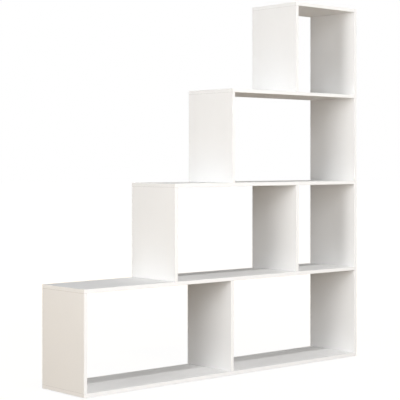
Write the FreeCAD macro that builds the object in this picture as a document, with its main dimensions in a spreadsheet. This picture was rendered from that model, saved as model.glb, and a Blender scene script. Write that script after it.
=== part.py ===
import FreeCAD, Part
import os
import re
import Sketcher

# Stepped room divider bookcase in white melamine-faced chipboard.
# Four tiers step up towards a tall side panel and are open from the front and the back.
# Every board end that meets another board's face is held by two cam fittings and two dowels.
# Frame: +X along the width towards the tall side, +Y to the back, +Z up, millimetres.
# Origin: on the floor, at the middle of the width and of the depth.

# Driving dimensions: word, length, what it measures.
DIMENSIONS = [
    # Boards
    ("board_thickness", "15", "every board, with its melamine faces"),
    ("core_depth", "275", "front to back, without the edge bands"),
    ("tier_clear_height", "380", "clear height of every compartment"),
    ("first_run", "1535", "bottom board and first shelf, from the tall side to the free end"),
    ("second_run", "1083.75", "second shelf, from the tall side to the free end"),
    ("third_run", "767.5", "third shelf, from the tall side to the free end"),
    ("top_run", "383.75", "top board, from the tall side to the free end"),
    # Edge bands
    ("edging_thickness", "1", "plastic strip on the front, the back and each free end"),
    ("edging_round", "0.6", "rounding of a strip's two outer corners"),
    # Cams
    ("fitting_inset", "50", "cam bolts, from the long edge of the core"),
    ("cam_diameter", "15", "seat of a cam in the face of its board"),
    ("cam_setback", "34", "axis of a cam from the end of its board"),
    ("cam_floor", "3", "board left under a cam"),
    ("driver_length", "6", "cross recess in the face of a cam, tip to tip"),
    ("driver_width", "1.6", "cross recess, across one arm"),
    ("driver_depth", "2.5", "cross recess, below the face"),
    # Cam bolts
    ("bolt_diameter", "6.5", "shank and head"),
    ("bolt_head_length", "3", "head, centred on the cam's axis"),
    ("bolt_neck_diameter", "4", "neck that the cam grips"),
    ("bolt_neck_length", "4.5", "neck, between the shank and the head"),
    ("thread_diameter", "5", "over the ridges of the thread"),
    ("thread_depth", "0.5", "height of a ridge"),
    ("face_floor", "4", "board left behind a bolt's thread"),
    # Dowels
    ("dowel_pitch", "32", "dowel from the cam bolt beside it"),
    ("dowel_diameter", "8", "beech dowel"),
    ("dowel_length", "30", "beech dowel"),
    ("dowel_floor", "5", "board left behind a dowel"),
    ("dowel_chamfer", "0.8", "both ends of a dowel"),
    # Cover caps
    ("cap_overlap", "1.5", "cap past the rim of its cam, all round"),
    ("cap_thickness", "1.6", "cap, above the face of the board"),
    ("cap_round", "0.8", "rounding of a cap's rim"),
    # Floor glides and their nails
    ("glide_height", "5", "underside of the boards from the floor"),
    ("glide_margin", "0.5", "rim of a glide from the faces of the tall side"),
    ("glide_round", "1", "rounding round the foot of a glide"),
    ("glide_inset", "25", "glide from the long edges and from the free end of the bottom board"),
    ("nail_diameter", "2", "shank of a glide's nail"),
    ("nail_head_diameter", "5", "head of a glide's nail"),
    ("nail_head_height", "1", "head of a glide's nail"),
    ("nail_recess", "1.5", "head of the nail above the foot of its glide"),
    ("nail_floor", "4", "board left behind a nail"),
    # Fits
    ("fit_clearance", "0.1", "all round a round fit"),
    ("end_clearance", "0.5", "past the end of what is pushed into a blind hole"),
]
WORDS = {word for word, length, meaning in DIMENSIONS}

# Places that several pieces share
TALL_INNER_X = "((first_run - board_thickness) / 2)"
TIER_PITCH = "(tier_clear_height + board_thickness)"
BOLT_ROWS = ["fitting_inset", "core_depth - fitting_inset"]
DOWEL_ROWS = ["fitting_inset + dowel_pitch", "core_depth - fitting_inset - dowel_pitch"]
GLIDE_ROWS = ["glide_inset", "core_depth - glide_inset"]
THREAD_RIDGES = 5
RIDGE_LENGTH_SHARE = 0.5

# Horizontal boards from the floor up, with the run of each from the tall side.
HORIZONTALS = {
    "bottom_board": "first_run",
    "first_shelf": "first_run",
    "second_shelf": "second_run",
    "third_shelf": "third_run",
    "top_board": "top_run",
}
LEVELS = list(HORIZONTALS)

# Upright boards: middle plane from the tall side's inner face, boards below and above.
UPRIGHTS = {
    "first_tier_end_panel": ("first_run - board_thickness / 2", "bottom_board", "first_shelf"),
    "first_tier_divider": ("first_run / 2", "bottom_board", "first_shelf"),
    "second_tier_end_panel": ("second_run - board_thickness / 2", "first_shelf", "second_shelf"),
    "second_tier_divider": ("top_run - board_thickness / 2", "first_shelf", "second_shelf"),
    "third_tier_end_panel": ("third_run - board_thickness / 2", "second_shelf", "third_shelf"),
    "top_tier_end_panel": ("top_run - board_thickness / 2", "third_shelf", "top_board"),
}

# Glides: distance of each pair from the tall side's inner face, under the bottom board.
BOTTOM_GLIDES = ["first_run - glide_inset", UPRIGHTS["first_tier_divider"][0]]

# Drilled holes: diameter and depth.
HOLES = {
    "bolt_pilot": ("thread_diameter + 2 * fit_clearance", "board_thickness - face_floor"),
    "bolt_bore": ("bolt_diameter + 2 * fit_clearance", "cam_setback"),
    "cam_seat": ("cam_diameter", "board_thickness - cam_floor"),
    "dowel_face": ("dowel_diameter + 2 * fit_clearance", "board_thickness - dowel_floor"),
    "dowel_end": (
        "dowel_diameter + 2 * fit_clearance",
        "dowel_length - board_thickness + dowel_floor + end_clearance",
    ),
    "nail_hole": (
        "nail_diameter + 2 * fit_clearance",
        "board_thickness - nail_floor + end_clearance",
    ),
}

doc = FreeCAD.newDocument("room_divider_bookcase")
sheet = doc.addObject("Spreadsheet::Sheet", "Dimensions")
for row, (word, length, meaning) in enumerate(DIMENSIONS, start=1):
    sheet.set(f"A{row}", word)
    sheet.set(f"B{row}", length)
    sheet.setAlias(f"B{row}", word)
    sheet.set(f"C{row}", meaning)
doc.recompute()


def bind(formula):
    """Turn a formula in the sheet's words into an expression of the document."""
    return re.sub(
        r"[a-z_]+",
        lambda match: f"Dimensions.{match.group()}" if match.group() in WORDS else match.group(),
        formula,
    )


def measure(formula):
    """Give the length that a formula in the sheet's words has now."""
    return float(sheet.evalExpression(bind(formula)))


def rise(board_name):
    """Formula for the height of a horizontal board above the bottom board."""
    return f"{LEVELS.index(board_name)} * {TIER_PITCH}"


def underside(board_name):
    """Formula for the height of a horizontal board's underside above the floor."""
    return f"glide_height + {rise(board_name)}"


def place(piece, x, y, z, rotation=FreeCAD.Rotation()):
    """Turn a piece and bind its position to three formulas."""
    piece.Placement = FreeCAD.Placement(FreeCAD.Vector(), rotation)
    for axis, formula in zip("xyz", (x, y, z)):
        piece.setExpression(f"Placement.Base.{axis}", bind(formula))


# Sketches and features


def sketch_on(body, name, plane, offset=("0", "0", "0")):
    """Start a sketch on one of the body's own planes, moved by three formulas along its own axes."""
    sketch = body.newObject("Sketcher::SketchObject", name)
    support = [item for item in body.Origin.OriginFeatures if item.Role == plane][0]
    sketch.AttachmentSupport = (support, [""])
    sketch.MapMode = "FlatFace"
    for axis, formula in zip("xyz", offset):
        sketch.setExpression(f"AttachmentOffset.Base.{axis}", bind(formula))
    return sketch


def dimension(sketch, name, formula, kind, *where):
    """Add a sketch dimension that is bound to a formula."""
    index = sketch.addConstraint(Sketcher.Constraint(kind, *where, measure(formula)))
    sketch.renameConstraint(index, name)
    sketch.setExpression(f"Constraints.{name}", bind(formula))


def rectangle(sketch, width, height, centred=False):
    """Draw a rectangle from the sketch's origin, or round it."""
    wide = measure(width)
    high = measure(height)
    left = -wide / 2 if centred else 0
    low = -high / 2 if centred else 0
    corners = [
        FreeCAD.Vector(left, low),
        FreeCAD.Vector(left + wide, low),
        FreeCAD.Vector(left + wide, low + high),
        FreeCAD.Vector(left, low + high),
    ]
    for start, end in zip(corners, corners[1:] + corners[:1]):
        sketch.addGeometry(Part.LineSegment(start, end), False)
    for side in range(4):
        sketch.addConstraint(Sketcher.Constraint("Coincident", side, 2, (side + 1) % 4, 1))
        sketch.addConstraint(Sketcher.Constraint("Vertical" if side % 2 else "Horizontal", side))
    if centred:
        sketch.addConstraint(Sketcher.Constraint("Symmetric", 0, 1, 2, 1, -1, 1))
    else:
        sketch.addConstraint(Sketcher.Constraint("Coincident", 0, 1, -1, 1))
    dimension(sketch, "width", width, "DistanceX", 0, 1, 0, 2)
    dimension(sketch, "height", height, "DistanceY", 1, 1, 1, 2)


def circle(sketch, diameter):
    """Draw a circle round the sketch's origin."""
    round_line = Part.Circle(FreeCAD.Vector(), FreeCAD.Vector(0, 0, 1), measure(diameter) / 2)
    sketch.addGeometry(round_line, False)
    sketch.addConstraint(Sketcher.Constraint("Coincident", 0, 3, -1, 1))
    dimension(sketch, "diameter", diameter, "Diameter", 0)


def circles(sketch, places, diameter):
    """Draw equal circles at places given as pairs of formulas."""
    for index, (across, up) in enumerate(places):
        middle = FreeCAD.Vector(measure(across), measure(up))
        round_line = Part.Circle(middle, FreeCAD.Vector(0, 0, 1), measure(diameter) / 2)
        sketch.addGeometry(round_line, False)
        dimension(sketch, f"diameter_{index}", diameter, "Diameter", index)
        dimension(sketch, f"across_{index}", across, "DistanceX", -1, 1, index, 3)
        dimension(sketch, f"up_{index}", up, "DistanceY", -1, 1, index, 3)


def pad(body, sketch, length, backwards=False):
    """Add material from a sketch, along its normal or backwards."""
    feature = body.newObject("PartDesign::Pad", f"{sketch.Name}_pad")
    feature.Profile = sketch
    feature.Reversed = backwards
    feature.setExpression("Length", bind(length))
    doc.recompute()
    return feature


def pocket(body, sketch, depth, forwards=False):
    """Cut from a sketch, against its normal or forwards, and stop if nothing is cut."""
    doc.recompute()
    before = body.Shape.Volume
    feature = body.newObject("PartDesign::Pocket", f"{sketch.Name}_pocket")
    feature.Profile = sketch
    feature.Reversed = forwards
    feature.setExpression("Length", bind(depth))
    doc.recompute()
    if not body.Shape.Volume < before:
        raise RuntimeError(f"{feature.Name} cuts nothing")


def ease(body, kind, size_property, size, wanted):
    """Round or chamfer the edges of the body that a test picks."""
    tip = body.Tip
    names = [f"Edge{index}" for index, edge in enumerate(tip.Shape.Edges, start=1) if wanted(edge)]
    feature = body.newObject(f"PartDesign::{kind}", f"{body.Name}_{kind.lower()}")
    feature.Base = (tip, names)
    feature.setExpression(size_property, bind(size))
    doc.recompute()


def lies_at(edge, axis, height):
    """Tell whether a whole edge lies in the plane where an axis has a given value."""
    return all(
        abs(getattr(corner, axis) - height) < Part.Precision.confusion()
        for corner in (edge.BoundBox.Center, edge.Vertexes[0].Point, edge.Vertexes[-1].Point)
    )


# Boards: each lies flat in its own frame, length along X, depth along Y, thickness along Z.

UPRIGHT_TURN = FreeCAD.Rotation(FreeCAD.Vector(0, 1, 0), -90)


def board(name, length):
    """Make a plain board."""
    body = doc.addObject("PartDesign::Body", name)
    outline = sketch_on(body, f"{name}_outline", "XY_Plane")
    rectangle(outline, length, "core_depth")
    pad(body, outline, "board_thickness")
    return body


def drill(body, kind, side, places, length):
    """Drill one kind of hole into one side of a board.

    Sides are the underside and the top, and the near and the far end of its length.
    """
    plane, height, forwards = {
        "underside": ("XY_Plane", "0", True),
        "top": ("XY_Plane", "board_thickness", False),
        "near_end": ("YZ_Plane", "0", True),
        "far_end": ("YZ_Plane", length, False),
    }[side]
    diameter, depth = HOLES[kind]
    sketch = sketch_on(body, f"{body.Name}_{kind}_{side}", plane, ("0", "0", height))
    circles(sketch, places, diameter)
    pocket(body, sketch, depth, forwards)


def drill_face(body, side, stations, length):
    """Drill a board's face for the bolts and dowels of the boards that meet it there."""
    for kind, rows in (("bolt_pilot", BOLT_ROWS), ("dowel_face", DOWEL_ROWS)):
        drill(body, kind, side, [(station, row) for station in stations for row in rows], length)


def drill_end(body, side, length):
    """Drill a board's end for its bolts and dowels."""
    for kind, rows in (("bolt_bore", BOLT_ROWS), ("dowel_end", DOWEL_ROWS)):
        drill(body, kind, side, [(row, "board_thickness / 2") for row in rows], length)


def edge_strip(name, length, x, y, turn):
    """Make one edge band, outer face at Y 0, and lay it along an edge of its board."""
    body = doc.addObject("PartDesign::Body", name)
    outline = sketch_on(body, f"{name}_outline", "XY_Plane")
    rectangle(outline, length, "edging_thickness")
    pad(body, outline, "board_thickness")
    ease(
        body, "Fillet", "Radius", "edging_round",
        lambda edge: lies_at(edge, "y", 0) and edge.BoundBox.ZLength < edge.BoundBox.XLength,
    )
    place(body, x, y, "0", FreeCAD.Rotation(FreeCAD.Vector(0, 0, 1), turn))
    return body


def edge_band(name, length, near_end, far_end):
    """Make a board's strips: front and back over the whole length, and the ends that are free."""
    start = "0 - edging_thickness" if near_end else "0"
    finish = f"{length} + edging_thickness" if far_end else length
    long_side = f"({finish}) - ({start})"
    strips = [
        edge_strip(f"{name}_front_strip", long_side, start, "0 - edging_thickness", 0),
        edge_strip(f"{name}_back_strip", long_side, finish, "core_depth + edging_thickness", 180),
    ]
    if near_end:
        strips.append(edge_strip(f"{name}_near_strip", "core_depth", start, "core_depth", -90))
    if far_end:
        strips.append(edge_strip(f"{name}_far_strip", "core_depth", finish, "0", 90))
    band = doc.addObject("Part::Compound", f"{name}_edging")
    band.Links = strips
    return band


def lay(name, body, x, z, length, rotation=FreeCAD.Rotation(), near_end=False, far_end=False):
    """Put a drilled board and its edge band in their place."""
    band = edge_band(name, length, near_end, far_end)
    for piece in (body, band):
        place(piece, x, "0 - core_depth / 2", z, rotation)
    return [body, band]


def horizontal(name):
    """Make a shelf, the bottom board or the top board, with its edge band."""
    length = f"({HORIZONTALS[name]} - edging_thickness)"
    body = board(name, length)
    standing = [f"{length} - ({distance})" for distance, below, above in UPRIGHTS.values() if below == name]
    hanging = [f"{length} - ({distance})" for distance, below, above in UPRIGHTS.values() if above == name]
    for side, stations in (("top", standing), ("underside", hanging)):
        if stations:
            drill_face(body, side, stations, length)
    drill_end(body, "far_end", length)
    drill(body, "cam_seat", "underside", [(f"{length} - cam_setback", row) for row in BOLT_ROWS], length)
    if name == "bottom_board":
        nails = [(f"{length} - ({distance})", row) for distance in BOTTOM_GLIDES for row in GLIDE_ROWS]
        drill(body, "nail_hole", "underside", nails, length)
    x = f"{TALL_INNER_X} - {length}"
    return lay(name, body, x, underside(name), length, near_end=True)


def upright(name):
    """Make an end panel or a divider, with its edge band."""
    distance, below, above = UPRIGHTS[name]
    length = "tier_clear_height"
    body = board(name, length)
    drill_end(body, "near_end", length)
    drill_end(body, "far_end", length)
    setbacks = ["cam_setback", f"{length} - cam_setback"]
    drill(body, "cam_seat", "underside", [(x, row) for x in setbacks for row in BOLT_ROWS], length)
    x = f"{TALL_INNER_X} - ({distance}) + board_thickness / 2"
    z = f"{underside(below)} + board_thickness"
    return lay(name, body, x, z, length, UPRIGHT_TURN)


def tall_side(name):
    """Make the side panel that all the horizontal boards butt against, with its edge band."""
    length = f"({rise('top_board')} + board_thickness - edging_thickness)"
    body = board(name, length)
    stations = [f"{rise(board_name)} + board_thickness / 2" for board_name in LEVELS]
    drill_face(body, "top", stations, length)
    drill(body, "nail_hole", "near_end", [(row, "board_thickness / 2") for row in GLIDE_ROWS], length)
    x = f"{TALL_INNER_X} + board_thickness"
    return lay(name, body, x, underside("bottom_board"), length, UPRIGHT_TURN, far_end=True)


# Fittings: each is made once, round its own axis, and copied to every joint.


def cross_arms(length, width):
    """Give the sides of the two arms of a cross."""
    return enumerate([(length, width), (width, length)])


def cam():
    """Cam: face at Z 0, mouth for the bolt towards the board's end at -X."""
    body = doc.addObject("PartDesign::Body", "cam")
    outline = sketch_on(body, "cam_outline", "XY_Plane")
    circle(outline, "cam_diameter - 2 * fit_clearance")
    pad(body, outline, "board_thickness - cam_floor", backwards=True)
    reach = "(bolt_head_length / 2 + end_clearance)"
    mouth = sketch_on(body, "cam_mouth", "YZ_Plane", ("0", "0 - board_thickness / 2", reach))
    circle(mouth, HOLES["bolt_bore"][0])
    pocket(body, mouth, f"{reach} + cam_diameter / 2")
    for arm, sides in cross_arms("driver_length", "driver_width"):
        slot = sketch_on(body, f"cam_driver_{arm}", "XY_Plane")
        rectangle(slot, *sides, centred=True)
        pocket(body, slot, "driver_depth")
    return body


def cap():
    """Cover cap: disc on the face of the board, cross plug pushed into the cam."""
    body = doc.addObject("PartDesign::Body", "cap")
    disc = sketch_on(body, "cap_disc", "XY_Plane")
    circle(disc, "cam_diameter + 2 * cap_overlap")
    pad(body, disc, "cap_thickness")
    ease(body, "Fillet", "Radius", "cap_round", lambda edge: lies_at(edge, "z", measure("cap_thickness")))
    arm_length = "driver_length - 2 * fit_clearance"
    arm_width = "driver_width - 2 * fit_clearance"
    for arm, sides in cross_arms(arm_length, arm_width):
        blade = sketch_on(body, f"cap_blade_{arm}", "XY_Plane")
        rectangle(blade, *sides, centred=True)
        pad(body, blade, "driver_depth - end_clearance", backwards=True)
    return body


def cam_bolt():
    """Cam bolt along X: shoulder at X 0, thread towards -X, head at the cam's axis."""
    body = doc.addObject("PartDesign::Body", "cam_bolt")
    thread_length = "(board_thickness - face_floor - end_clearance)"
    head_start = "(cam_setback - bolt_head_length / 2)"
    shank_length = f"({head_start} - bolt_neck_length)"
    ridge_pitch = f"({thread_length} / {THREAD_RIDGES})"
    sections = [
        ("root", "thread_diameter - 2 * thread_depth", f"0 - {thread_length}", thread_length),
        ("shank", "bolt_diameter", "0", shank_length),
        ("neck", "bolt_neck_diameter", shank_length, "bolt_neck_length"),
        ("head", "bolt_diameter", head_start, "bolt_head_length"),
        ("ridge", "thread_diameter", f"0 - {thread_length}", f"{ridge_pitch} * {RIDGE_LENGTH_SHARE}"),
    ]
    for name, diameter, start, length in sections:
        section = sketch_on(body, f"bolt_{name}", "YZ_Plane", ("0", "0", start))
        circle(section, diameter)
        ridge = pad(body, section, length)
    thread = body.newObject("PartDesign::LinearPattern", "bolt_thread")
    thread.Originals = [ridge]
    along = [item for item in body.Origin.OriginFeatures if item.Role == "X_Axis"][0]
    thread.Direction = (along, [""])
    thread.setExpression("Length", bind(f"{ridge_pitch} * {THREAD_RIDGES - 1}"))
    thread.Occurrences = THREAD_RIDGES
    body.Tip = thread
    doc.recompute()
    return body


def dowel():
    """Dowel along X: X 0 is where the two boards meet."""
    body = doc.addObject("PartDesign::Body", "dowel")
    section = sketch_on(body, "dowel_section", "YZ_Plane", ("0", "0", "dowel_floor - board_thickness"))
    circle(section, "dowel_diameter")
    pad(body, section, "dowel_length")
    ease(body, "Chamfer", "Size", "dowel_chamfer", lambda edge: edge.isClosed())
    return body


def glide():
    """Floor glide: foot at Z 0, bored for its nail."""
    body = doc.addObject("PartDesign::Body", "glide")
    outline = sketch_on(body, "glide_outline", "XY_Plane")
    circle(outline, "board_thickness - 2 * glide_margin")
    pad(body, outline, "glide_height")
    ease(body, "Fillet", "Radius", "glide_round", lambda edge: lies_at(edge, "z", 0))
    for name, diameter, depth in (
        ("head_seat", "nail_head_diameter", "nail_recess + nail_head_height"),
        ("nail_bore", "nail_diameter", "glide_height"),
    ):
        hole = sketch_on(body, f"glide_{name}", "XY_Plane")
        circle(hole, f"{diameter} + 2 * fit_clearance")
        pocket(body, hole, depth, forwards=True)
    return body


def nail():
    """Nail of a floor glide, in the frame of the glide."""
    body = doc.addObject("PartDesign::Body", "nail")
    tip_height = "glide_height + board_thickness - nail_floor"
    for name, diameter, length in (
        ("head", "nail_head_diameter", "nail_head_height"),
        ("shank", "nail_diameter", f"{tip_height} - nail_recess"),
    ):
        section = sketch_on(body, f"nail_{name}", "XY_Plane", ("0", "0", "nail_recess"))
        circle(section, diameter)
        pad(body, section, length)
    ease(body, "Chamfer", "Size", "nail_diameter / 4", lambda edge: lies_at(edge, "z", measure(tip_height)))
    return body


def joints():
    """List the joints: where two boards meet, the way into the drilled board, and its cam face."""
    up = FreeCAD.Vector(0, 0, 1)
    right = FreeCAD.Vector(1, 0, 0)
    found = []
    for distance, below, above in UPRIGHTS.values():
        x = measure(f"{TALL_INNER_X} - ({distance})")
        foot = measure(f"{underside(below)} + board_thickness")
        head = measure(underside(above))
        found.append((FreeCAD.Vector(x, 0, foot), up, right))
        found.append((FreeCAD.Vector(x, 0, head), -up, right))
    for board_name in LEVELS:
        middle = measure(f"{underside(board_name)} + board_thickness / 2")
        found.append((FreeCAD.Vector(measure(TALL_INNER_X), 0, middle), -right, -up))
    return found


def joint_places(rows, setback="0", height="0"):
    """Place a fitting in every joint: its X points into the drilled board, its Z out of the cam face."""
    places = []
    for meeting, inwards, outwards in joints():
        turn = FreeCAD.Rotation(inwards, outwards.cross(inwards), outwards, "ZXY")
        seat = meeting + inwards * measure(setback) + outwards * measure(height)
        for row in rows:
            across = FreeCAD.Vector(0, measure(f"{row} - core_depth / 2"), 0)
            places.append(FreeCAD.Placement(seat + across, turn))
    return places


def glide_places():
    """Place the glides: two pairs under the bottom board and one under the tall side."""
    distances = BOTTOM_GLIDES + ["0 - board_thickness / 2"]
    return [
        FreeCAD.Placement(
            FreeCAD.Vector(measure(f"{TALL_INNER_X} - ({distance})"), measure(f"{row} - core_depth / 2"), 0),
            FreeCAD.Rotation(),
        )
        for distance in distances
        for row in GLIDE_ROWS
    ]


def group(name, pattern, places):
    """Copy a fitting to its places, as one node of separate solids."""
    copies = []
    for spot in places:
        solid = pattern.Shape.Solids[0].copy()
        solid.Placement = spot.multiply(solid.Placement)
        copies.append(solid)
    node = doc.addObject("Part::Feature", name)
    node.Shape = Part.makeCompound(copies)
    return node


# The assembly

nodes = []
for board_name in LEVELS:
    nodes += horizontal(board_name)
for board_name in UPRIGHTS:
    nodes += upright(board_name)
nodes += tall_side("tall_side_panel")

cam_places = joint_places(BOLT_ROWS, "cam_setback", "board_thickness / 2")
nodes.append(group("cam_locks", cam(), cam_places))
nodes.append(group("cam_cover_caps", cap(), cam_places))
nodes.append(group("cam_bolts", cam_bolt(), joint_places(BOLT_ROWS)))
nodes.append(group("wood_dowels", dowel(), joint_places(DOWEL_ROWS)))
nodes.append(group("floor_glides", glide(), glide_places()))
nodes.append(group("glide_nails", nail(), glide_places()))
doc.recompute()

# Checks, then one file for each node
for item in doc.Objects:
    if "Invalid" in item.State or "Error" in item.State:
        raise RuntimeError(f"{item.Label} failed: {item.State}")
for node in nodes:
    node.Label = node.Name
    if node.Shape.isNull() or not node.Shape.isValid():
        raise RuntimeError(f"{node.Label} has no valid shape")

os.makedirs("parts", exist_ok=True)
for node in nodes:
    node.Shape.exportStep(f"parts/{node.Label}.step")
    print(f"{node.Label}: {len(node.Shape.Solids)} solids, {node.Shape.Volume:.0f} mm3")
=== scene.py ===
"""Looks of the stepped room divider bookcase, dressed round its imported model.

Metres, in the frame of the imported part: +X along the width towards the tall side,
+Y to the back, +Z up, origin on the floor at the middle of the width and the depth.
"""

import logging
import math
from collections.abc import Callable, Iterator
from dataclasses import dataclass
from enum import Enum

import bmesh
import bpy
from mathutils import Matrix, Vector


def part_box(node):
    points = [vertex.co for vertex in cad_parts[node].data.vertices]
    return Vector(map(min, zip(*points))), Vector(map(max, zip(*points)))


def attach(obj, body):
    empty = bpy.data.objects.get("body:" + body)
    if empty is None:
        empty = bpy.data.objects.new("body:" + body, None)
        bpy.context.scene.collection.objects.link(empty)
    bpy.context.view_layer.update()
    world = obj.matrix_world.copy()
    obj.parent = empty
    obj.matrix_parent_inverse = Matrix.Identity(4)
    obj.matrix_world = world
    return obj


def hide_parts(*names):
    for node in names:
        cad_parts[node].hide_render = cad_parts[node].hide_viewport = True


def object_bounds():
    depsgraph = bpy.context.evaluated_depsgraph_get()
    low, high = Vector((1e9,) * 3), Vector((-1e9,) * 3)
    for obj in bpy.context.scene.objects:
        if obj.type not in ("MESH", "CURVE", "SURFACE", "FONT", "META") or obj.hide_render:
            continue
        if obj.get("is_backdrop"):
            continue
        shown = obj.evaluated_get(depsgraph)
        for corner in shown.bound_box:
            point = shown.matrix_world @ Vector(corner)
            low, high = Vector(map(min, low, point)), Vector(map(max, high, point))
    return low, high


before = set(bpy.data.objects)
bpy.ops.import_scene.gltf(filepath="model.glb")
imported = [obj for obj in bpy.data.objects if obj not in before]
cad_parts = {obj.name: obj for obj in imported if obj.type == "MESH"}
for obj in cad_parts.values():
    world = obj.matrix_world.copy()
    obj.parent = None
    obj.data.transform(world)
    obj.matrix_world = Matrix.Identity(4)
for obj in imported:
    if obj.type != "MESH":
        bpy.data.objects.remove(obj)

MM = 0.001
BODY = "root"

log = logging.getLogger("bookcase")

Triple = tuple[float, float, float]
Span = tuple[float, float]
Socket = bpy.types.NodeSocket
FaceTest = Callable[[bmesh.types.BMFace], bool]
EdgeTest = Callable[[bmesh.types.BMEdge], bool]

ALIKE: Triple = (1.0, 1.0, 1.0)
ORIGIN: Triple = (0.0, 0.0, 0.0)
WHITE: Triple = (1.0, 1.0, 1.0)
RISING: Span = (0.0, 1.0)
FALLING: Span = (1.0, 0.0)
NOISE_RANGE: Span = (0.3, 0.7)  # where a soft random pattern mostly stays
STRAIGHT = 0.99  # cosine past which a face looks straight along a line
TOUCH = 0.01 * MM  # distance below which two places are the same
FULL_BEAM = 180.0  # degrees, a lamp that isn't gathered


class Slot(Enum):
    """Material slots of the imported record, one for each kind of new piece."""

    CAP = "white_cap"
    STEEL = "steel_bolt"
    GLIDE = "glide_plastic"


class Axis(Enum):
    """Axes of the part: X along the width, Y along the depth, Z up."""

    X = "X"
    Y = "Y"
    Z = "Z"


class Pattern(Enum):
    """What a pattern gives, in the words of the node that blends two of them."""

    COLOUR = "RGBA"
    NUMBER = "FLOAT"


class Lie(Enum):
    """How a board lies, with the axis across its thickness."""

    UPRIGHT = Axis.X
    LEVEL = Axis.Z


class Facing(Enum):
    """Where the face of a cover cap looks, as the turn that brings it there from +Z."""

    RIGHT = (0.0, math.pi / 2, 0.0)
    DOWN = (math.pi, 0.0, 0.0)


class Row(Enum):
    """The two rows of fittings, as the side of the depth that they are on."""

    FRONT = -1
    BACK = 1


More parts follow.
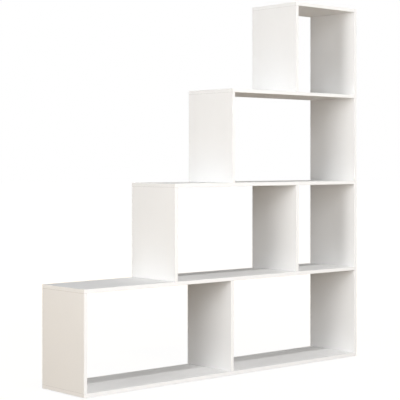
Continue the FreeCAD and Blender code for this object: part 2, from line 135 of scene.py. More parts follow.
class ShaderSketch:
    """Draws the node tree of one finish."""

    def __init__(self, name: str, specular: float = 0.5) -> None:
        """Start a material with a Principled shader.

        Args:
            name: Name of the material.
            specular: Specular level of the shader.
        """
        self.material = bpy.data.materials.new(name)
        self.material.use_nodes = True
        self.tree = self.material.node_tree
        self.shader = self.tree.nodes["Principled BSDF"]
        self.shader.inputs["Specular IOR Level"].default_value = specular
        self.coordinates = self.add("ShaderNodeTexCoord")

    def add(self, kind: str, **inputs: object) -> bpy.types.Node:
        """Add a node.

        Args:
            kind: Type of the node.
            **inputs: Values of its inputs, by name with an underscore for each space.

        Returns:
            The new node.
        """
        node = self.tree.nodes.new(kind)
        for name, value in inputs.items():
            node.inputs[name.replace("_", " ")].default_value = value
        return node

    def link(self, source: Socket, target: Socket) -> None:
        """Join an output to an input."""
        self.tree.links.new(source, target)

    def feed(self, source: Socket, name: str) -> None:
        """Join an output to an input of the shader."""
        self.link(source, self.shader.inputs[name])

    def place(self, scale: Triple = ALIKE, shift: Triple = ORIGIN) -> Socket:
        """Give the object coordinates, stretched and shifted.

        Args:
            scale: Factor on each axis.
            shift: Shift on each axis.

        Returns:
            The coordinates.
        """
        mapping = self.add("ShaderNodeMapping", Location=shift, Scale=scale)
        self.link(self.coordinates.outputs["Object"], mapping.inputs["Vector"])
        return mapping.outputs["Vector"]

    def part_of(self, vector: Socket, axis: Axis) -> Socket:
        """Give one coordinate of a vector.

        Args:
            vector: The vector.
            axis: Axis of the coordinate.

        Returns:
            The coordinate.
        """
        split = self.add("ShaderNodeSeparateXYZ")
        self.link(vector, split.inputs["Vector"])
        return split.outputs[axis.value]

    def size_of(self, value: Socket) -> Socket:
        """Give a number without its sign.

        Args:
            value: The number.

        Returns:
            Its size.
        """
        node = self.add("ShaderNodeMath")
        node.operation = "ABSOLUTE"
        self.link(value, node.inputs[0])
        return node.outputs["Value"]

    def noise(self, grain: float, layers: float = 2.0, scale: Triple = ALIKE) -> Socket:
        """Add a soft random pattern.

        Args:
            grain: Size of one grain, in metres.
            layers: Number of finer layers.
            scale: Factor on each axis of the coordinates.

        Returns:
            The pattern, mostly within NOISE_RANGE.
        """
        node = self.add("ShaderNodeTexNoise", Scale=1.0 / grain, Detail=layers)
        self.link(self.place(scale), node.inputs["Vector"])
        return node.outputs["Fac"]

    def chips(self, grain: float) -> Socket:
        """Add a pattern of cells, each of one random grey.

        Args:
            grain: Size of one cell, in metres.

        Returns:
            The pattern, from 0 to 1.
        """
        node = self.add("ShaderNodeTexVoronoi", Scale=1.0 / grain)
        self.link(self.place(), node.inputs["Vector"])
        return self.part_of(node.outputs["Color"], Axis.X)

    def spread(self, value: Socket, start: Span, end: Span) -> Socket:
        """Move a number from one range to another, and hold it there.

        Args:
            value: The number.
            start: Range that it comes from.
            end: Range that it goes to.

        Returns:
            The new number.
        """
        node = self.add("ShaderNodeMapRange")
        for name, number in zip(("From Min", "From Max", "To Min", "To Max"), (*start, *end)):
            node.inputs[name].default_value = number
        self.link(value, node.inputs["Value"])
        return node.outputs["Result"]

    def shades(self, value: Socket, *stops: tuple[float, Triple]) -> Socket:
        """Colour a pattern.

        Args:
            value: The pattern.
            *stops: Values of the pattern, rising, each with its colour.

        Returns:
            The colour.
        """
        node = self.add("ShaderNodeValToRGB")
        elements = node.color_ramp.elements
        while len(elements) < len(stops):
            elements.new(1.0)
        for element, (position, colour) in zip(elements, stops):
            element.position = position
            element.color = (*colour, 1.0)
        self.link(value, node.inputs["Fac"])
        return node.outputs["Color"]

    def two_shades(self, value: Socket, dark: Triple, pale: Triple, ends: Span = NOISE_RANGE) -> Socket:
        """Colour a pattern with two shades.

        Args:
            value: The pattern.
            dark: Colour at the first end.
            pale: Colour at the second end.
            ends: Values of the pattern at the two ends.

        Returns:
            The colour.
        """
        return self.shades(value, (ends[0], dark), (ends[1], pale))

    def blend(
        self, share: Socket, first: Socket, second: Socket, kind: Pattern = Pattern.COLOUR
    ) -> Socket:
        """Go from one pattern to another.

        Args:
            share: Share of the second pattern.
            first: Pattern at 0.
            second: Pattern at 1.
            kind: What the patterns give.

        Returns:
            The blended pattern.
        """
        node = self.add("ShaderNodeMix")
        node.data_type = kind.value
        inputs = {socket.name: socket for socket in node.inputs if socket.enabled}
        self.link(share, inputs["Factor"])
        self.link(first, inputs["A"])
        self.link(second, inputs["B"])
        return next(socket for socket in node.outputs if socket.enabled)

    def emboss(self, height: Socket, depth: float) -> None:
        """Give the surface a relief.

        Args:
            height: Pattern of the relief.
            depth: Height of the relief, in metres.
        """
        node = self.add("ShaderNodeBump", Distance=depth, Strength=1.0)
        self.link(height, node.inputs["Height"])
        self.feed(node.outputs["Normal"], "Normal")


def shaded(colour: Triple, share: float) -> Triple:
    """Give a colour times a share."""
    return (colour[0] * share, colour[1] * share, colour[2] * share)


@dataclass(frozen=True)
class ButtJoints:
    """Where boards of one kind butt, drawn as hairlines of painted shade: at the reach on both sides of a
    middle, again after each pitch.
    """

    axis: Axis
    middle: float
    reach: float
    pitch: float
    width: float = 0.6 * MM
    # shares of the white for the painted shade standing in for a gap at the joints
    gap_shade_shares: Span = (0.2, 0.32)

    def lines(self, sketch: ShaderSketch) -> Socket:
        """Find the hairlines at the joints.

        Args:
            sketch: The finish that is drawn.

        Returns:
            1 on the hairlines, else 0.
        """
        along = sketch.part_of(sketch.place(shift=(-self.middle,) * 3), self.axis)
        wave = sketch.add("ShaderNodeMath")
        wave.operation = "PINGPONG"
        wave.inputs[1].default_value = self.pitch / 2
        sketch.link(along, wave.inputs[0])
        line = (self.reach - self.width, self.reach)
        return sketch.spread(wave.outputs["Value"], line, RISING)

    def draw(self, sketch: ShaderSketch, colour: Socket, clouds: Socket, white: Triple) -> Socket:
        """Draw the hairlines as painted shade, dark and cloudy in tone.

        Args:
            sketch: The finish that is drawn.
            colour: Colour of the surface.
            clouds: Pattern of the tone of the painted shade.
            white: White of the surface.

        Returns:
            Colour of the surface with its hairlines.
        """
        # Painted shade: a dark line standing for the shadow in a hairline gap between butting boards.
        dark, pale = self.gap_shade_shares
        gap_shade = sketch.two_shades(clouds, shaded(white, dark), shaded(white, pale))
        return sketch.blend(self.lines(sketch), colour, gap_shade)


@dataclass(frozen=True)
class Melamine:
    """White melamine paper with a fine pearl emboss, on chipboard that shows where it was sawn."""

    lie: Lie
    thickness_middle: float = 0.0
    joints: ButtJoints | None = None
    white: Triple = (0.86, 0.859, 0.855)
    cloud_share: float = 0.982
    cloud: float = 0.25
    pearl: float = 1.1 * MM
    pearl_depth: float = 0.02 * MM
    gloss: Span = (0.55, 0.68)
    gloss_per_cloud: float = 6.0
    specular: float = 0.03
    face_edge: Span = (0.45, 0.55)
    seam_at: float = 137.5 * MM
    seam_width: float = 0.25 * MM
    seam_share: float = 0.8
    chip: float = 3.2 * MM
    chip_depth: float = 0.25 * MM
    chip_gloss: Span = (0.8, 0.95)
    fine_per_chip: float = 4.0
    fine_layer: float = 4.5 * MM
    fine_fade: float = 1 * MM

    @property
    def name(self) -> str:
        """Give the name of the material."""
        return f"melamine_{self.lie.name.lower()}_{self.thickness_middle / MM:.0f}"

    def material(self) -> bpy.types.Material:
        """Draw the finish.

        Returns:
            The material.
        """
        sketch = ShaderSketch(self.name, self.specular)
        across = sketch.size_of(sketch.part_of(sketch.coordinates.outputs["Normal"], self.lie.value))
        face = sketch.spread(across, self.face_edge, RISING)
        clouds = sketch.noise(self.cloud, layers=4.0)
        paper = sketch.two_shades(clouds, shaded(self.white, self.cloud_share), self.white)
        sawn, crumbs = self.sawn_end(sketch)
        sketch.feed(sketch.blend(face, sawn, self.seamed(sketch, clouds, paper)), "Base Color")
        patches = sketch.noise(self.cloud / self.gloss_per_cloud, layers=5.0)
        gloss = sketch.spread(patches, NOISE_RANGE, self.gloss)
        dull = sketch.spread(crumbs, RISING, self.chip_gloss)
        sketch.feed(sketch.blend(face, dull, gloss, Pattern.NUMBER), "Roughness")
        relief_share = self.pearl_depth / self.chip_depth
        relief = sketch.spread(sketch.noise(self.pearl), RISING, (0.0, relief_share))
        sketch.emboss(sketch.blend(face, crumbs, relief, Pattern.NUMBER), self.chip_depth)
        return sketch.material

    def seamed(self, sketch: ShaderSketch, clouds: Socket, paper: Socket) -> Socket:
        """Draw the glue line where the paper meets the edge bands, and the painted shade of hairline gaps
        where it meets other boards.

        Args:
            sketch: The finish that is drawn.
            clouds: The cloudy pattern of the paper.
            paper: Colour of the paper.

        Returns:
            Colour of the paper with its hairlines.
        """
        reach = sketch.size_of(sketch.part_of(sketch.coordinates.outputs["Object"], Axis.Y))
        seam = sketch.spread(reach, (self.seam_at - self.seam_width, self.seam_at), RISING)
        pale = shaded(self.white, self.seam_share)
        glue = sketch.two_shades(clouds, shaded(pale, self.cloud_share), pale)
        paper = sketch.blend(seam, paper, glue)
        # the joints add hairlines of painted shade where other boards butt
        if self.joints:
            paper = self.joints.draw(sketch, paper, clouds, self.white)
        return paper

    def sawn_end(self, sketch: ShaderSketch) -> tuple[Socket, Socket]:
        """Draw sawn chipboard: coarse chips in the middle, fine ones under both papers.

        Args:
            sketch: The finish that is drawn.

        Returns:
            The colour and the relief.
        """
        coarse = sketch.chips(self.chip)
        fine = sketch.chips(self.chip / self.fine_per_chip)
        depth = sketch.part_of(sketch.coordinates.outputs["Object"], self.lie.value)
        low_end = self.thickness_middle - self.fine_layer
        high_end = self.thickness_middle + self.fine_layer
        low = sketch.spread(depth, (low_end, low_end + self.fine_fade), FALLING)
        high = sketch.spread(depth, (high_end - self.fine_fade, high_end), RISING)
        half_done = sketch.blend(low, coarse, fine, Pattern.NUMBER)
        crumbs = sketch.blend(high, half_done, fine, Pattern.NUMBER)
        colour = sketch.shades(
            crumbs,
            (0.0, (0.2, 0.12, 0.065)),
            (0.35, (0.42, 0.29, 0.17)),
            (0.75, (0.56, 0.42, 0.27)),
            (1.0, (0.66, 0.53, 0.37)),
        )
        return colour, crumbs


@dataclass(frozen=True)
class EdgeBanding:
    """White edge band, a little smoother than the faces, with the scraper's fine lines along it."""

    lie: Lie
    joints: ButtJoints | None = None
    white: Triple = (0.865, 0.864, 0.86)
    line_share: float = 0.985
    line: float = 0.45 * MM
    line_stretch: float = 0.012
    line_depth: float = 0.006 * MM
    gloss: Span = (0.4, 0.52)
    specular: float = 0.1

    @property
    def name(self) -> str:
        """Give the name of the material."""
        return f"edge_band_{self.lie.name.lower()}"

    def material(self) -> bpy.types.Material:
        """Draw the finish.

        Returns:
            The material.
        """
        sketch = ShaderSketch(self.name, self.specular)
        stretch = self.line_stretch
        along = (1.0, 1.0, stretch) if self.lie is Lie.UPRIGHT else (stretch, 1.0, 1.0)
        lines = sketch.noise(self.line, layers=3.0, scale=along)
        tint = sketch.two_shades(lines, shaded(self.white, self.line_share), self.white)
        # the joints add hairlines of painted shade where other boards butt
        if self.joints:
            tint = self.joints.draw(sketch, tint, lines, self.white)
        sketch.feed(tint, "Base Color")
        sketch.feed(sketch.spread(lines, NOISE_RANGE, self.gloss), "Roughness")
        sketch.emboss(lines, self.line_depth)
        return sketch.material


@dataclass(frozen=True)
class MouldedPlastic:
    """Moulded plastic with a fine eroded texture, rubbed where it stands on the floor."""

    name: str
    colour: Triple
    scuffed_to: float = 0.0
    scuff_share: float = 0.72
    scuff_ends: Span = (0.4, 0.7)
    scuff_per_flow: float = 3.0
    flow: float = 2.5 * MM
    flow_share: float = 0.96
    grain: float = 0.35 * MM
    grain_depth: float = 0.01 * MM
    gloss: Span = (0.36, 0.5)
    specular: float = 0.4

    def material(self) -> bpy.types.Material:
        """Draw the finish.

        Returns:
            The material.
        """
        sketch = ShaderSketch(self.name, self.specular)
        flow = sketch.noise(self.flow, layers=3.0)
        colour = sketch.two_shades(flow, shaded(self.colour, self.flow_share), self.colour)
        if self.scuffed_to:
            colour = self.scuffed(sketch, colour)
        sketch.feed(colour, "Base Color")
        grain = sketch.noise(self.grain)
        sketch.feed(sketch.spread(grain, NOISE_RANGE, self.gloss), "Roughness")
        sketch.emboss(grain, self.grain_depth)
        return sketch.material

    def scuffed(self, sketch: ShaderSketch, colour: Socket) -> Socket:
        """Rub the colour near the floor.

        Args:
            sketch: The finish that is drawn.
            colour: The colour as moulded.

        Returns:
            The rubbed colour.
        """
        marks = sketch.noise(self.flow / self.scuff_per_flow, layers=4.0)
        dark = shaded(self.colour, self.scuff_share)
        rubbed = sketch.two_shades(marks, dark, self.colour, self.scuff_ends)
        height = sketch.part_of(sketch.coordinates.outputs["Object"], Axis.Z)
        near_floor = sketch.spread(height, (0.0, self.scuffed_to), FALLING)
        return sketch.blend(near_floor, colour, rubbed)


@dataclass(frozen=True)
class Metal:
    """Plated or cast metal with dull patches."""

    name: str
    bright: Triple
    dull: Triple
    patch: float
    gloss: Span
    grain_depth: float
    patch_ends: Span = (0.35, 0.65)
    grain_per_patch: float = 8.0

    def material(self) -> bpy.types.Material:
        """Draw the finish.

        Returns:
            The material.
        """
        sketch = ShaderSketch(self.name)
        sketch.shader.inputs["Metallic"].default_value = 1.0
        patches = sketch.noise(self.patch, layers=4.0)
        sketch.feed(sketch.two_shades(patches, self.dull, self.bright, self.patch_ends), "Base Color")
        grain = sketch.noise(self.patch / self.grain_per_patch, layers=3.0)
        sketch.feed(sketch.spread(grain, NOISE_RANGE, self.gloss), "Roughness")
        sketch.emboss(grain, self.grain_depth)
        return sketch.material


@dataclass(frozen=True)
class Beech:
    """Turned beech with fine flecks."""

    name: str = "dowel_beech"
    pale: Triple = (0.64, 0.43, 0.26)
    dark: Triple = (0.45, 0.27, 0.15)
    fleck: float = 0.5 * MM
    fleck_stretch: float = 0.12
    fleck_ends: Span = (0.32, 0.6)
    fleck_depth: float = 0.03 * MM
    gloss: Span = (0.75, 0.6)
    specular: float = 0.3

    def material(self) -> bpy.types.Material:
        """Draw the finish.

        Returns:
            The material.
        """
        sketch = ShaderSketch(self.name, self.specular)
        flecks = sketch.noise(self.fleck, layers=3.0, scale=(1.0, 1.0, self.fleck_stretch))
        sketch.feed(sketch.two_shades(flecks, self.dark, self.pale, self.fleck_ends), "Base Color")
        sketch.feed(sketch.spread(flecks, NOISE_RANGE, self.gloss), "Roughness")
        sketch.emboss(flecks, self.fleck_depth)
        return sketch.material


CAST_ZINC = Metal(
    "cast_zinc",
    bright=(0.62, 0.62, 0.61),
    dull=(0.46, 0.47, 0.47),
    patch=3 * MM,
    gloss=(0.38, 0.55),
    grain_depth=0.03 * MM,
)
PLATED_STEEL = Metal(
    "plated_steel",
    bright=(0.74, 0.74, 0.72),
    dull=(0.6, 0.61, 0.62),
    patch=2 * MM,
    gloss=(0.22, 0.36),
    grain_depth=0.008 * MM,
)
CAP_WHITE = MouldedPlastic("cap_white", (0.84, 0.838, 0.828))
GLIDE_NYLON = MouldedPlastic("glide_nylon", (0.72, 0.71, 0.68), scuffed_to=1.2 * MM)


def paint(piece: bpy.types.Object, material: bpy.types.Material) -> None:
    """Put one material on a whole piece.

    Args:
        piece: The piece.
        material: Its material.
    """
    if not piece.material_slots:
        piece.data.materials.append(material)
    for holder in piece.material_slots:
        holder.material = material


def dress_node(name: str, material: bpy.types.Material) -> None:
    """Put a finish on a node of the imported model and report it.

    Args:
        name: Name of the node.
        material: Its material.
    """
    paint(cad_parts[name], material)
    log.info("dressed %s in %s", name, material.name)


@dataclass
class Boards:
    """The twelve boards and their edge bands, which keep the shapes that they were cut to."""

    level: tuple[str, ...] = ("bottom_board", "first_shelf", "second_shelf", "third_shelf", "top_board")
    upright: tuple[str, ...] = (
        "first_tier_end_panel",
        "first_tier_divider",
        "second_tier_end_panel",
        "second_tier_divider",
        "third_tier_end_panel",
        "top_tier_end_panel",
    )
    tall: str = "tall_side_panel"
    lone_pitch: float = 4.0

    def joints_of_tiers(self) -> ButtJoints:
        """Find the joints at the foot and the head of the uprights.

        Returns:
            The joints, up the height.
        """
        low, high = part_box("first_tier_end_panel")
        next_low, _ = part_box("second_tier_end_panel")
        middle = (low.z + high.z) / 2
        return ButtJoints(Axis.Z, middle, high.z - middle, next_low.z - low.z)

    def joints_at_tall_side(self) -> ButtJoints:
        """Find the joint between the level boards and the tall side.

        Returns:
            The joint, along the width, with no other within the length of a board.
        """
        low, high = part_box(self.level[0])
        length = high.x - low.x
        return ButtJoints(Axis.X, low.x, length, self.lone_pitch * length)

    def dress(self) -> None:
        """Give the faces their melamine and the edges their bands."""
        low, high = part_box(self.tall)
        tall_middle = (low.x + high.x) / 2
        for lie, names, middle, joints in (
            (Lie.LEVEL, self.level, 0.0, self.joints_at_tall_side()),
            (Lie.UPRIGHT, self.upright, 0.0, self.joints_of_tiers()),
            (Lie.UPRIGHT, (self.tall,), tall_middle, None),
        ):
            face = Melamine(lie, middle, joints).material()
            band = EdgeBanding(lie, joints).material()
            for name in names:
                dress_node(name, face)
                dress_node(f"{name}_edging", band)


@dataclass
class HiddenFittings:
    """Cams, cam bolts and dowels, which stay inside the boards."""

    cams: str = "cam_locks"
    bolts: str = "cam_bolts"
    dowels: str = "wood_dowels"

    def dress(self, steel: bpy.types.Material) -> None:
        """Give the fittings their cast zinc, plated steel and beech.

        Args:
            steel: Material of bolts and nails.
        """
        dress_node(self.cams, CAST_ZINC.material())
        dress_node(self.bolts, steel)
        dress_node(self.dowels, Beech().material())


class Bench:
    """Modelling by hand, one operator after another."""

    @staticmethod
    def round_bar(name: str, radius: float, ends: Span, sides: int) -> bpy.types.Object:
        """Start a piece as a round bar on the Z axis.

        Args:
            name: Name of the piece.
            radius: Radius of the bar.
            ends: Heights of its lower and upper end.
            sides: Number of its sides.

        Returns:
            The bar, open for edits.
        """
        low, high = ends
        bpy.ops.object.select_all(action="DESELECT")
        bpy.ops.mesh.primitive_cylinder_add(
            vertices=sides, radius=radius, depth=high - low, location=(0.0, 0.0, (low + high) / 2)
        )
        piece = bpy.context.object
        piece.name = name
        bpy.ops.object.transform_apply(location=True, rotation=True, scale=True)
        bpy.ops.object.mode_set(mode="EDIT")
        return piece

    @staticmethod
    def pick_faces(piece: bpy.types.Object, wanted: FaceTest) -> None:
        """Select faces.

        Args:
            piece: The piece, open for edits.
            wanted: Tells whether a face is wanted.
        """
        bpy.ops.mesh.select_mode(type="FACE")
        bpy.ops.mesh.select_all(action="DESELECT")
        shape = bmesh.from_edit_mesh(piece.data)
        for face in [face for face in shape.faces if wanted(face)]:
            face.select_set(True)
        bmesh.update_edit_mesh(piece.data)

    @staticmethod
    def pick_edges(piece: bpy.types.Object, wanted: EdgeTest) -> None:
        """Select edges.

        Args:
            piece: The piece, open for edits.
            wanted: Tells whether an edge is wanted.
        """
        bpy.ops.mesh.select_mode(type="EDGE")
        bpy.ops.mesh.select_all(action="DESELECT")
        shape = bmesh.from_edit_mesh(piece.data)
        for edge in [edge for edge in shape.edges if wanted(edge)]:
            edge.select_set(True)
        bmesh.update_edit_mesh(piece.data)

    @staticmethod
    def push(step: Triple) -> None:
        """Extrude what is selected."""
        bpy.ops.mesh.extrude_region_move(TRANSFORM_OT_translate={"value": step})

    @staticmethod
    def close(angle: float) -> None:
        """End the edits.

        Args:
            angle: Edges flatter than this are shaded smooth, in degrees.
        """
        bpy.ops.mesh.select_all(action="SELECT")
        bpy.ops.mesh.normals_make_consistent(inside=False)
        bpy.ops.object.mode_set(mode="OBJECT")
        bpy.ops.object.shade_smooth_by_angle(angle=math.radians(angle))

    @staticmethod
    def copy_to(
        pattern: bpy.types.Object, name: str, place: Vector, turn: Triple = ORIGIN
    ) -> bpy.types.Object:
        """Copy a finished pattern to a place, with a mesh of its own.

        Args:
            pattern: The pattern, at the origin.
            name: Name of the copy.
            place: Where it goes.
            turn: How it is turned, about X, Y and Z.

        Returns:
            The copy, with its place in its mesh.
        """
        bpy.ops.object.select_all(action="DESELECT")
        pattern.select_set(True)
        bpy.context.view_layer.objects.active = pattern
        bpy.ops.object.duplicate(linked=False)
        copy = bpy.context.object
        copy.name = name
        copy.data.name = name
        copy.rotation_euler = turn
        copy.location = place
        bpy.ops.object.transform_apply(location=True, rotation=True, scale=True)
        return copy

    @staticmethod
    def scrap(pattern: bpy.types.Object) -> None:
        """Throw a pattern away when all its copies are made."""
        bpy.data.meshes.remove(pattern.data)


def looks_up(face: bmesh.types.BMFace) -> bool:
    """Tell whether a face looks straight up."""
    return face.normal.z > STRAIGHT


def looks_down(face: bmesh.types.BMFace) -> bool:
    """Tell whether a face looks straight down."""
    return face.normal.z < -STRAIGHT


def looks_along(way: Vector) -> FaceTest:
    """Make a test for a face that looks along a line from the Z axis and is centred on that line.

    Args:
        way: Level direction of the line.

    Returns:
        The test.
    """

    def wanted(face: bmesh.types.BMFace) -> bool:
        """Tell whether a face looks along the line and is centred on it."""
        return face.normal @ way > STRAIGHT and abs(face.calc_center_median().cross(way).z) < TOUCH

    return wanted


def ring_at(height: float, radius: float) -> EdgeTest:
    """Make a test for the edges of a ring round the Z axis.

    Args:
        height: Height of the ring.
        radius: Radius of the ring.

    Returns:
        The test.
    """

    def wanted(edge: bmesh.types.BMEdge) -> bool:
        """Tell whether both ends of an edge are on the ring."""
        ends = [end.co for end in edge.verts]
        return all(abs(end.z - height) < TOUCH and abs(end.xy.length - radius) < TOUCH for end in ends)

    return wanted


def disc_of(radius: float) -> FaceTest:
    """Make a test for level round faces on the Z axis.

    Args:
        radius: Radius of the faces.

    Returns:
        The test.
    """

    def wanted(face: bmesh.types.BMFace) -> bool:
        """Tell whether all corners of a level face are on the circle."""
        on_circle = all(abs(corner.co.xy.length - radius) < TOUCH for corner in face.verts)
        return on_circle and abs(face.normal.z) > STRAIGHT

    return wanted


def mount_piece(piece: bpy.types.Object, node: str, slot: Slot, material: bpy.types.Material) -> None:
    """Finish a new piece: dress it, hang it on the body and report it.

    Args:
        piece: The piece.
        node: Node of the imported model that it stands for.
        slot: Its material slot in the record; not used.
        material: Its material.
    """
    paint(piece, material)
    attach(piece, BODY)
    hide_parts(node)
    log.info("made %s with %d faces for %s", piece.name, len(piece.data.polygons), node)


@dataclass
class CoverCaps:
    """Press-in caps over the cams: domed discs, each with a cross plug behind it."""

    boards: Boards
    radius: float = 9 * MM
    wall: float = 0.75 * MM
    dome: tuple[Span, ...] = (
        (0.15 * MM, 0.35 * MM),
        (0.35 * MM, 0.25 * MM),
        (0.7 * MM, 0.14 * MM),
        (2.2 * MM, 0.08 * MM),
        (3.4 * MM, 0.03 * MM),
    )
    gate_radius: float = 0.9 * MM
    gate_slope: float = 0.3 * MM
    gate_depth: float = 0.25 * MM
    plug_arm: float = 1.4 * MM
    plug_reach: float = 2.9 * MM
    plug_length: float = 2 * MM
    plug_taper: float = 0.92
    sides: int = 48
    smooth_below: float = 30.0
    cam_setback: float = 34 * MM
    edge_inset: float = 50 * MM
    node: str = "cam_cover_caps"

    def pattern(self) -> bpy.types.Object:
        """Model one cap, seat at Z 0 and face to +Z.

        Returns:
            The cap.
        """
        cap = Bench.round_bar("cap_pattern", self.radius, (0.0, self.wall), self.sides)
        Bench.pick_faces(cap, looks_up)
        crown = self.radius
        for width, rise in self.dome:
            bpy.ops.mesh.inset(thickness=width, depth=rise)
            crown -= width
        bpy.ops.mesh.inset(thickness=crown - self.gate_radius, depth=0.0)
        bpy.ops.mesh.inset(thickness=self.gate_slope, depth=-self.gate_depth)
        Bench.close(self.smooth_below)
        self.plug()
        cap.select_set(True)
        bpy.context.view_layer.objects.active = cap
        bpy.ops.object.join()
        return cap

    def plug(self) -> None:
        """Model the cross plug, and leave it selected."""
        bpy.ops.object.select_all(action="DESELECT")
        bpy.ops.mesh.primitive_cube_add(size=self.plug_arm, location=(0.0, 0.0, -self.plug_length / 2))
        plug = bpy.context.object
        plug.scale = (1.0, 1.0, self.plug_length / self.plug_arm)
        bpy.ops.object.transform_apply(location=True, rotation=True, scale=True)
        bpy.ops.object.mode_set(mode="EDIT")
        for quarter in range(4):
            way = Vector((math.cos(quarter * math.pi / 2), math.sin(quarter * math.pi / 2), 0.0))
            Bench.pick_faces(plug, looks_along(way))
            Bench.push(way * (self.plug_reach - self.plug_arm / 2))
        Bench.pick_faces(plug, looks_down)
        taper = self.plug_taper
        bpy.ops.transform.resize(value=(taper, taper, 1.0), center_override=(0.0, 0.0, -self.plug_length))
        Bench.close(self.smooth_below)

    def places(self) -> Iterator[tuple[str, Vector, Facing]]:
        """Find the seats of the caps.

        Yields:
            Name of a cap, its place and where it looks.
        """
        for row in Row:
            word = row.name.lower()
            for board in self.boards.upright:
                low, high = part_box(board)
                depth = row.value * (high.y - self.edge_inset)
                heights = {"foot": low.z + self.cam_setback, "head": high.z - self.cam_setback}
                for end, height in heights.items():
                    yield f"{board}_cap_{end}_{word}", Vector((high.x, depth, height)), Facing.RIGHT
            for board in self.boards.level:
                low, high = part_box(board)
                depth = row.value * (high.y - self.edge_inset)
                seat = Vector((high.x - self.cam_setback, depth, low.z))
                yield f"{board}_cap_{word}", seat, Facing.DOWN

    def build(self) -> None:
        """Make a cap for every cam."""
        pattern = self.pattern()
        white = CAP_WHITE.material()
        for name, place, facing in self.places():
            mount_piece(Bench.copy_to(pattern, name, place, facing.value), self.node, Slot.CAP, white)
        Bench.scrap(pattern)


@dataclass
class FloorGlides:
    """Nail-on glides under the bottom board and the tall side, with their nails."""

    height: float = 5 * MM
    radius: float = 7 * MM
    foot_round: float = 1 * MM
    foot_steps: int = 4
    rim_round: float = 0.2 * MM
    rim_steps: int = 2
    head_radius: float = 2.5 * MM
    head_height: float = 1 * MM
    head_recess: float = 1.5 * MM
    head_crown: float = 0.2 * MM
    crown_steps: int = 3
    shank_radius: float = 1 * MM
    tip_height: float = 16 * MM
    tip_length: float = 1.2 * MM
    tip_taper: float = 0.35
    fit: float = 0.1 * MM
    sides: int = 40
    smooth_below: float = 35.0
    inset: float = 25 * MM

    def glide_pattern(self) -> bpy.types.Object:
        """Model one glide, foot at Z 0.

        Returns:
            The glide.
        """
        glide = Bench.round_bar("glide_pattern", self.radius, (0.0, self.height), self.sides)
        seat = self.head_radius + self.fit
        bore = self.shank_radius + self.fit
        for height, size, steps in (
            (0.0, self.foot_round, self.foot_steps),
            (self.height, self.rim_round, self.rim_steps),
        ):
            Bench.pick_edges(glide, ring_at(height, self.radius))
            bpy.ops.mesh.bevel(offset=size, segments=steps, affect="EDGES")
        Bench.pick_faces(glide, disc_of(self.radius - self.rim_round))
        bpy.ops.mesh.inset(thickness=self.radius - self.rim_round - bore, depth=0.0)
        Bench.pick_faces(glide, disc_of(self.radius - self.foot_round))
        bpy.ops.mesh.inset(thickness=self.radius - self.foot_round - seat, depth=0.0)
        Bench.push((0.0, 0.0, self.head_recess + self.head_height))
        bpy.ops.mesh.inset(thickness=seat - bore, depth=0.0)
        Bench.pick_faces(glide, disc_of(bore))
        bpy.ops.mesh.bridge_edge_loops()
        Bench.close(self.smooth_below)
        return glide

    def nail_pattern(self) -> bpy.types.Object:
        """Model one nail, at the place that it has in a glide.

        Returns:
            The nail.
        """
        head_ends = (self.head_recess, self.head_recess + self.head_height)
        nail = Bench.round_bar("nail_pattern", self.head_radius, head_ends, self.sides)
        Bench.pick_edges(nail, ring_at(self.head_recess, self.head_radius))
        bpy.ops.mesh.bevel(offset=self.head_crown, segments=self.crown_steps, affect="EDGES")
        Bench.pick_faces(nail, looks_up)
        bpy.ops.mesh.inset(thickness=self.head_radius - self.shank_radius, depth=0.0)
        Bench.push((0.0, 0.0, self.tip_height - self.tip_length - head_ends[1]))
        Bench.push((0.0, 0.0, self.tip_length))
        taper = self.tip_taper
        bpy.ops.transform.resize(value=(taper, taper, 1.0), center_override=(0.0, 0.0, self.tip_height))
        Bench.close(self.smooth_below)
        return nail

    def places(self) -> Iterator[tuple[str, Vector]]:
        """Find the places of the glides.

        Yields:
            Ending of the names, and the place on the floor.
        """
        board_low, board_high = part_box("bottom_board")
        across = {"left": board_low.x + self.inset}
        for word, board in (("middle", "first_tier_divider"), ("right", "tall_side_panel")):
            low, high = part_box(board)
            across[word] = (low.x + high.x) / 2
        for word, x in across.items():
            for row in Row:
                depth = row.value * (board_high.y - self.inset)
                yield f"{row.name.lower()}_{word}", Vector((x, depth, 0.0))

    def build(self, steel: bpy.types.Material) -> None:
        """Make the glides and their nails.

        Args:
            steel: Material of bolts and nails.
        """
        for pattern, word, node, slot, material in (
            (self.glide_pattern(), "floor_glide", "floor_glides", Slot.GLIDE, GLIDE_NYLON.material()),
            (self.nail_pattern(), "glide_nail", "glide_nails", Slot.STEEL, steel),
        ):
            for ending, place in self.places():
                mount_piece(Bench.copy_to(pattern, f"{word}_{ending}", place), node, slot, material)
            Bench.scrap(pattern)


@dataclass
class PhotoCamera:
    """Level camera that repeats the photograph's view."""

    place: Triple = (-3.5617, -3.9300, 0.8986)
    heading: float = math.radians(41.652)
    focal_pixels: float = 1241.53
    horizon_row: float = 161.54
    frame_pixels: float = 400.0
    sensor: float = 36.0
    sight: float = 200.0

    def build(self) -> None:
        """Make the camera and look through it."""
        data = bpy.data.cameras.new("photo_camera")
        data.sensor_width = self.sensor
        data.lens = self.sensor * self.focal_pixels / self.frame_pixels
        data.shift_y = (self.horizon_row - self.frame_pixels / 2) / self.frame_pixels
        data.clip_end = self.sight
        camera = bpy.data.objects.new("photo_camera", data)
        camera.location = self.place
        camera.rotation_euler = (math.pi / 2, 0.0, -self.heading)
        bpy.context.scene.collection.objects.link(camera)
        bpy.context.scene.camera = camera


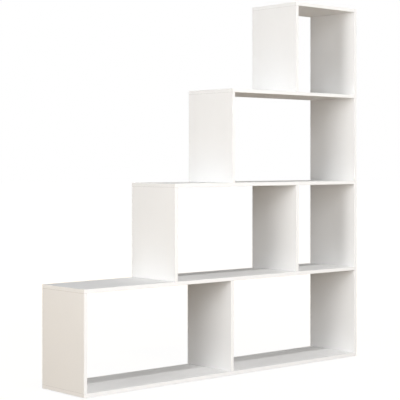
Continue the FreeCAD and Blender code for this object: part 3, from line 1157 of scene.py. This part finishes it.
@dataclass(frozen=True)
class Lamp:
    """A round soft lamp that looks at its target, with its angles in degrees from there.

    Azimuth goes from the front to the right, elevation up.
    """

    name: str
    azimuth: float
    elevation: float
    distance: float
    size: float
    level: float
    colour: Triple = WHITE
    glints: bool = True
    target: Triple = (0.0, 0.0, 0.8)
    beam: float = FULL_BEAM

    def build(self) -> None:
        """Hang the lamp: at level 1, a white sheet at the target that faces it renders white."""
        turn = math.radians(self.azimuth)
        rise = math.radians(self.elevation)
        level_part = math.cos(rise)
        away = Vector((math.sin(turn) * level_part, -math.cos(turn) * level_part, math.sin(rise)))
        data = bpy.data.lights.new(self.name, "AREA")
        data.shape = "DISK"
        data.size = self.size
        data.color = self.colour
        data.spread = math.radians(self.beam)
        half = data.spread / 2
        gathered = math.tan(half) / (math.tan(half) - half) if self.beam < FULL_BEAM else 1.0
        data.energy = self.level * (math.pi * self.distance) ** 2 / gathered
        lamp = bpy.data.objects.new(self.name, data)
        lamp.location = Vector(self.target) + away * self.distance
        lamp.rotation_euler = away.to_track_quat("Z", "Y").to_euler()
        lamp.visible_camera = False
        lamp.visible_glossy = self.glints
        bpy.context.scene.collection.objects.link(lamp)
        log.info("lit %s", self.name)


@dataclass
class Studio:
    """Pale floor, white surroundings and soft lamps."""

    floor_size: float = 80.0
    floor_matt: Triple = (0.18, 0.11, 0.033)
    glow_near: Triple = (0.91, 0.94, 0.97)
    glow_rise: Span = (1.5, 6.0)
    fill: float = 0.06
    lamps: tuple[Lamp, ...] = (
        Lamp("front", -16.0, 2.0, 5.0, 1.8, 0.555),
        Lamp("left", -83.0, 5.0, 10.0, 3.2, 0.435),
        Lamp("left_upper", -80.0, 3.0, 6.0, 1.2, 0.2, target=(0.2, 0.0, 1.5), beam=35.0),
        Lamp("camera_side", -40.0, 22.0, 5.0, 2.4, 0.26),
        Lamp("right", 45.0, 2.0, 5.0, 1.6, 0.2),
        Lamp("key", 0.0, 64.0, 12.0, 0.6, 0.285),
        Lamp("right_side", 95.0, 2.0, 5.0, 1.6, 0.4, glints=False),
        Lamp("back", 165.0, 3.0, 5.0, 1.6, 0.42, glints=False),
        Lamp("top_card", 75.0, 50.0, 1.0, 0.5, 0.42, glints=False, target=(0.57, 0.0, 1.6)),
        Lamp("warm_card", -95.0, 10.0, 0.9, 0.5, 0.085, (1.0, 0.6, 0.05), target=(-0.775, 0.0, 0.15)),
    )

    def seen_rays(self, tree: bpy.types.NodeTree) -> Socket:
        """Tell rays that see the studio from rays that only carry its light.

        Args:
            tree: Node tree of the floor or of the surroundings.

        Returns:
            1 for camera, glossy and transmission rays, else 0.
        """
        path = tree.nodes.new("ShaderNodeLightPath")
        seen = path.outputs["Is Camera Ray"]
        for other in ("Is Glossy Ray", "Is Transmission Ray"):
            either = tree.nodes.new("ShaderNodeMath")
            either.operation = "MAXIMUM"
            tree.links.new(seen, either.inputs[0])
            tree.links.new(path.outputs[other], either.inputs[1])
            seen = either.outputs["Value"]
        return seen

    def lay_floor(self) -> None:
        """Lay the floor: warm for the light that it throws back, white to the eye but for the shadow."""
        bpy.ops.object.select_all(action="DESELECT")
        bpy.ops.mesh.primitive_plane_add(size=self.floor_size)
        floor = bpy.context.object
        floor.name = "studio_floor"
        sketch = ShaderSketch(floor.name, specular=0.0)
        sketch.material.cycles.emission_sampling = "NONE"
        sketch.shader.inputs["Base Color"].default_value = (*self.floor_matt, 1.0)
        sketch.shader.inputs["Roughness"].default_value = 1.0
        away = sketch.add("ShaderNodeVectorMath")
        away.operation = "LENGTH"
        sketch.link(sketch.coordinates.outputs["Object"], away.inputs[0])
        rise = sketch.spread(away.outputs["Value"], self.glow_rise, RISING)
        sketch.feed(sketch.two_shades(rise, self.glow_near, WHITE, RISING), "Emission Color")
        sketch.feed(self.seen_rays(sketch.tree), "Emission Strength")
        paint(floor, sketch.material)
        floor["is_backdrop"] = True

    def surround(self) -> None:
        """Surround the bookcase with white, which lights it softly."""
        world = bpy.data.worlds.new("studio_surroundings")
        world.use_nodes = True
        tree = world.node_tree
        fill = tree.nodes["Background"]
        white = tree.nodes.new("ShaderNodeBackground")
        white.name = "White"
        for node, strength in ((fill, self.fill), (white, 1.0)):
            node.inputs["Color"].default_value = (*WHITE, 1.0)
            node.inputs["Strength"].default_value = strength
        either = tree.nodes.new("ShaderNodeMixShader")
        tree.links.new(self.seen_rays(tree), either.inputs["Fac"])
        tree.links.new(fill.outputs["Background"], either.inputs[1])
        tree.links.new(white.outputs["Background"], either.inputs[2])
        tree.links.new(either.outputs["Shader"], tree.nodes["World Output"].inputs["Surface"])
        bpy.context.scene.world = world

    def build(self) -> None:
        """Set up the studio."""
        self.lay_floor()
        self.surround()
        for lamp in self.lamps:
            lamp.build()
        bpy.context.scene.view_settings.view_transform = "Standard"


def main() -> None:
    """Dress the bookcase, set up the studio and measure both boxes."""
    logging.basicConfig(level=logging.INFO, format="%(message)s")
    cad_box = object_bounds()
    PhotoCamera().build()
    steel = PLATED_STEEL.material()
    boards = Boards()
    boards.dress()
    HiddenFittings().dress(steel)
    CoverCaps(boards).build()
    FloorGlides().build(steel)
    Studio().build()
    boxes = {"cad": cad_box, "visual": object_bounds()}
    {word: [list(corner) for corner in box] for word, box in boxes.items()}


if __name__ == "__main__":
    main()
